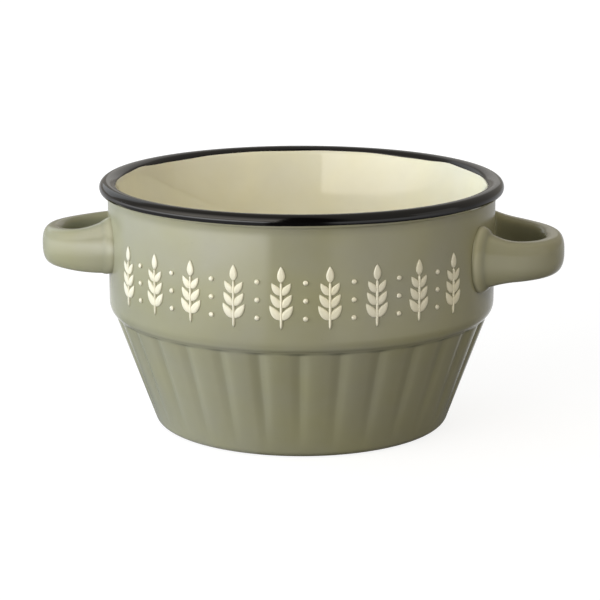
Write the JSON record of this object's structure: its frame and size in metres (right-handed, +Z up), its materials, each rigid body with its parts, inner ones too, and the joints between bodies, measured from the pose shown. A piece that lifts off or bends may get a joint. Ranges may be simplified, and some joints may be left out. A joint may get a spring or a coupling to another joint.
{
  "type": "soup cup",
  "caption": "Stoneware soup cup with a plain upright band over a ribbed tapering wall, a rolled black lip, a cream inside and a strap handle on each side.",
  "frame": {"origin": "centre of the cup's foot, on the table", "axes": "+Z up along the cup's axis, +X out through the right handle, -Y out through the side that faces the viewer"},
  "size_m": [0.1698, 0.13, 0.08],
  "materials": {
    "clay": "bare fired stoneware, matt",
    "green_glaze": "glossy grey-green glaze, lighter where it breaks over edges",
    "cream_glaze": "glossy cream glaze",
    "black_glaze": "glossy black glaze"
  },
  "bodies": {
    "root": {"stoneware_body": "clay", "left_handle": "clay", "right_handle": "clay", "left_front_slip": "clay", "left_back_slip": "clay", "right_front_slip": "clay", "right_back_slip": "clay", "outer_glaze": "green_glaze", "left_handle_glaze": "green_glaze", "right_handle_glaze": "green_glaze", "base_glaze": "green_glaze", "inner_glaze": "cream_glaze", "rim_glaze": "black_glaze"}
  },
  "joints": []
}
